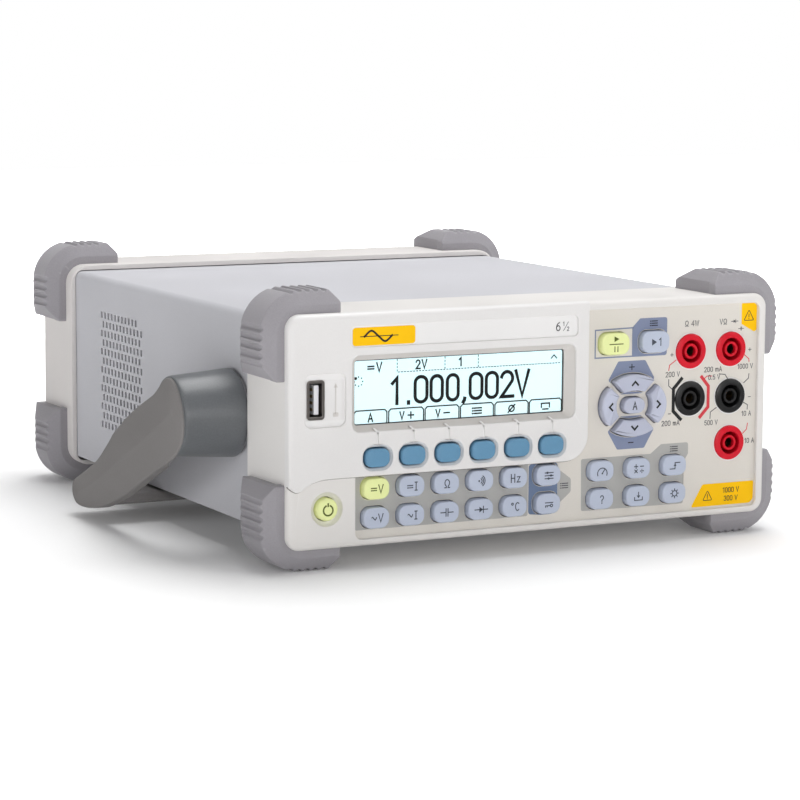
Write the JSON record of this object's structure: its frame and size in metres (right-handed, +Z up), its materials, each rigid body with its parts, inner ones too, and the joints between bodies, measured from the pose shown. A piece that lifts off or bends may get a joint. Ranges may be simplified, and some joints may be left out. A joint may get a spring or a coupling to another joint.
{
  "type": "bench multimeter",
  "caption": "Half-rack bench instrument with a corner-bumpered case, side-pivoted carrying bail, display, rubber keypad and safety input jacks.",
  "frame": {"origin": "under the middle of the bounding box, on the plane the bumpers stand on", "axes": "+Z up, the front panel faces -Y, +X to the right as seen from the front"},
  "size_m": [0.267, 0.284, 0.107],
  "materials": {
    "bezel_plastic": "fine grain",
    "fascia_plastic": "fine grain",
    "frame_plastic": "fine grain",
    "window": "clear",
    "display": "lit pale cyan",
    "mat_rubber": "soft",
    "board": "solder mask",
    "plated_steel": "plated",
    "red_plastic": "satin",
    "black_plastic": "satin",
    "contact_brass": "plated",
    "cover_paint": "fine texture",
    "tray_steel": "plated",
    "panel_paint": "satin",
    "lamination": "varnished",
    "inlet_plastic": "satin",
    "stud_alloy": "turned",
    "bail_plastic": "fine grain",
    "hub_plastic": "satin",
    "bumper_rubber": "matt",
    "screw_steel": "plated",
    "lit_key": "lit yellow-green",
    "soft_key": "satin",
    "pale_key": "satin",
    "nav_key": "satin"
  },
  "bodies": {
    "case": {"front_bezel": "bezel_plastic", "display_fascia": "fascia_plastic", "display_window": "window", "display_module": "display", "keypad_mat": "mat_rubber", "front_board": "board", "usb_host_port": "plated_steel", "input_jacks_red": "red_plastic", "input_jacks_black": "black_plastic", "jack_contacts": "contact_brass", "top_cover": "cover_paint", "chassis_tray": "tray_steel", "rear_frame": "frame_plastic", "rear_panel": "panel_paint", "main_board": "board", "transformer": "lamination", "shield_can": "plated_steel", "power_inlet": "inlet_plastic", "rear_connectors": "plated_steel", "current_fuse_holder": "inlet_plastic", "pivot_bosses": "stud_alloy", "front_bumpers": "bumper_rubber", "rear_bumpers": "bumper_rubber", "case_screws": "screw_steel"},
    "handle": {"handle_bail": "bail_plastic", "handle_hub_left": "hub_plastic", "handle_hub_right": "hub_plastic"},
    "power_rocker": {"power_rocker": "inlet_plastic"},
    "softkey_1": {"softkey_1": "soft_key"},
    "softkey_2": {"softkey_2": "soft_key"},
    "softkey_3": {"softkey_3": "soft_key"},
    "softkey_4": {"softkey_4": "soft_key"},
    "softkey_5": {"softkey_5": "soft_key"},
    "softkey_6": {"softkey_6": "soft_key"},
    "key_dc_volts": {"key_dc_volts": "lit_key"},
    "key_dc_current": {"key_dc_current": "pale_key"},
    "key_resistance": {"key_resistance": "pale_key"},
    "key_continuity": {"key_continuity": "pale_key"},
    "key_frequency": {"key_frequency": "pale_key"},
    "key_preset": {"key_preset": "pale_key"},
    "key_ac_volts": {"key_ac_volts": "pale_key"},
    "key_ac_current": {"key_ac_current": "pale_key"},
    "key_capacitance": {"key_capacitance": "pale_key"},
    "key_diode": {"key_diode": "pale_key"},
    "key_sensor": {"key_sensor": "pale_key"},
    "key_second": {"key_second": "pale_key"},
    "key_measure": {"key_measure": "pale_key"},
    "key_math": {"key_math": "pale_key"},
    "key_trigger": {"key_trigger": "pale_key"},
    "key_help": {"key_help": "pale_key"},
    "key_save": {"key_save": "pale_key"},
    "key_utility": {"key_utility": "pale_key"},
    "key_run": {"key_run": "lit_key"},
    "key_single": {"key_single": "pale_key"},
    "nav_up": {"nav_up": "nav_key"},
    "nav_down": {"nav_down": "nav_key"},
    "nav_left": {"nav_left": "nav_key"},
    "nav_right": {"nav_right": "nav_key"},
    "nav_auto": {"nav_auto": "nav_key"},
    "power_key": {"power_key": "lit_key"}
  },
  "joints": [
    {"name": "softkey_1_press", "type": "slide", "parent": "case", "child": "softkey_1", "axis": [0, 1, 0], "range_m": [0, 0.0009], "stiffness_N_per_m": 500},
    {"name": "softkey_2_press", "type": "slide", "parent": "case", "child": "softkey_2", "axis": [0, 1, 0], "range_m": [0, 0.0009], "stiffness_N_per_m": 500},
    {"name": "softkey_3_press", "type": "slide", "parent": "case", "child": "softkey_3", "axis": [0, 1, 0], "range_m": [0, 0.0009], "stiffness_N_per_m": 500},
    {"name": "softkey_4_press", "type": "slide", "parent": "case", "child": "softkey_4", "axis": [0, 1, 0], "range_m": [0, 0.0009], "stiffness_N_per_m": 500},
    {"name": "softkey_5_press", "type": "slide", "parent": "case", "child": "softkey_5", "axis": [0, 1, 0], "range_m": [0, 0.0009], "stiffness_N_per_m": 500},
    {"name": "softkey_6_press", "type": "slide", "parent": "case", "child": "softkey_6", "axis": [0, 1, 0], "range_m": [0, 0.0009], "stiffness_N_per_m": 500},
    {"name": "key_dc_volts_press", "type": "slide", "parent": "case", "child": "key_dc_volts", "axis": [0, 1, 0], "range_m": [0, 0.0009], "stiffness_N_per_m": 500},
    {"name": "key_dc_current_press", "type": "slide", "parent": "case", "child": "key_dc_current", "axis": [0, 1, 0], "range_m": [0, 0.0009], "stiffness_N_per_m": 500},
    {"name": "key_resistance_press", "type": "slide", "parent": "case", "child": "key_resistance", "axis": [0, 1, 0], "range_m": [0, 0.0009], "stiffness_N_per_m": 500},
    {"name": "key_continuity_press", "type": "slide", "parent": "case", "child": "key_continuity", "axis": [0, 1, 0], "range_m": [0, 0.0009], "stiffness_N_per_m": 500},
    {"name": "key_frequency_press", "type": "slide", "parent": "case", "child": "key_frequency", "axis": [0, 1, 0], "range_m": [0, 0.0009], "stiffness_N_per_m": 500},
    {"name": "key_preset_press", "type": "slide", "parent": "case", "child": "key_preset", "axis": [0, 1, 0], "range_m": [0, 0.0009], "stiffness_N_per_m": 500},
    {"name": "key_ac_volts_press", "type": "slide", "parent": "case", "child": "key_ac_volts", "axis": [0, 1, 0], "range_m": [0, 0.0009], "stiffness_N_per_m": 500},
    {"name": "key_ac_current_press", "type": "slide", "parent": "case", "child": "key_ac_current", "axis": [0, 1, 0], "range_m": [0, 0.0009], "stiffness_N_per_m": 500},
    {"name": "key_capacitance_press", "type": "slide", "parent": "case", "child": "key_capacitance", "axis": [0, 1, 0], "range_m": [0, 0.0009], "stiffness_N_per_m": 500},
    {"name": "key_diode_press", "type": "slide", "parent": "case", "child": "key_diode", "axis": [0, 1, 0], "range_m": [0, 0.0009], "stiffness_N_per_m": 500},
    {"name": "key_sensor_press", "type": "slide", "parent": "case", "child": "key_sensor", "axis": [0, 1, 0], "range_m": [0, 0.0009], "stiffness_N_per_m": 500},
    {"name": "key_second_press", "type": "slide", "parent": "case", "child": "key_second", "axis": [0, 1, 0], "range_m": [0, 0.0009], "stiffness_N_per_m": 500},
    {"name": "key_measure_press", "type": "slide", "parent": "case", "child": "key_measure", "axis": [0, 1, 0], "range_m": [0, 0.0009], "stiffness_N_per_m": 500},
    {"name": "key_math_press", "type": "slide", "parent": "case", "child": "key_math", "axis": [0, 1, 0], "range_m": [0, 0.0009], "stiffness_N_per_m": 500},
    {"name": "key_trigger_press", "type": "slide", "parent": "case", "child": "key_trigger", "axis": [0, 1, 0], "range_m": [0, 0.0009], "stiffness_N_per_m": 500},
    {"name": "key_help_press", "type": "slide", "parent": "case", "child": "key_help", "axis": [0, 1, 0], "range_m": [0, 0.0009], "stiffness_N_per_m": 500},
    {"name": "key_save_press", "type": "slide", "parent": "case", "child": "key_save", "axis": [0, 1, 0], "range_m": [0, 0.0009], "stiffness_N_per_m": 500},
    {"name": "key_utility_press", "type": "slide", "parent": "case", "child": "key_utility", "axis": [0, 1, 0], "range_m": [0, 0.0009], "stiffness_N_per_m": 500},
    {"name": "key_run_press", "type": "slide", "parent": "case", "child": "key_run", "axis": [0, 1, 0], "range_m": [0, 0.0009], "stiffness_N_per_m": 500},
    {"name": "key_single_press", "type": "slide", "parent": "case", "child": "key_single", "axis": [0, 1, 0], "range_m": [0, 0.0009], "stiffness_N_per_m": 500},
    {"name": "nav_up_press", "type": "slide", "parent": "case", "child": "nav_up", "axis": [0, 1, 0], "range_m": [0, 0.0009], "stiffness_N_per_m": 500},
    {"name": "nav_down_press", "type": "slide", "parent": "case", "child": "nav_down", "axis": [0, 1, 0], "range_m": [0, 0.0009], "stiffness_N_per_m": 500},
    {"name": "nav_left_press", "type": "slide", "parent": "case", "child": "nav_left", "axis": [0, 1, 0], "range_m": [0, 0.0009], "stiffness_N_per_m": 500},
    {"name": "nav_right_press", "type": "slide", "parent": "case", "child": "nav_right", "axis": [0, 1, 0], "range_m": [0, 0.0009], "stiffness_N_per_m": 500},
    {"name": "nav_auto_press", "type": "slide", "parent": "case", "child": "nav_auto", "axis": [0, 1, 0], "range_m": [0, 0.0009], "stiffness_N_per_m": 500},
    {"name": "power_key_press", "type": "slide", "parent": "case", "child": "power_key", "axis": [0, 1, 0], "range_m": [0, 0.0009], "stiffness_N_per_m": 500},
    {"name": "handle_swing", "type": "hinge", "parent": "case", "child": "handle", "pos_m": [0, -0.0841, 0.055], "axis": [-1, 0, 0], "range_deg": [0, 295]},
    {"name": "rocker_tip", "type": "hinge", "parent": "case", "child": "power_rocker", "pos_m": [0.078, 0.1216, 0.0625], "axis": [1, 0, 0], "range_deg": [0, 14]}
  ]
}
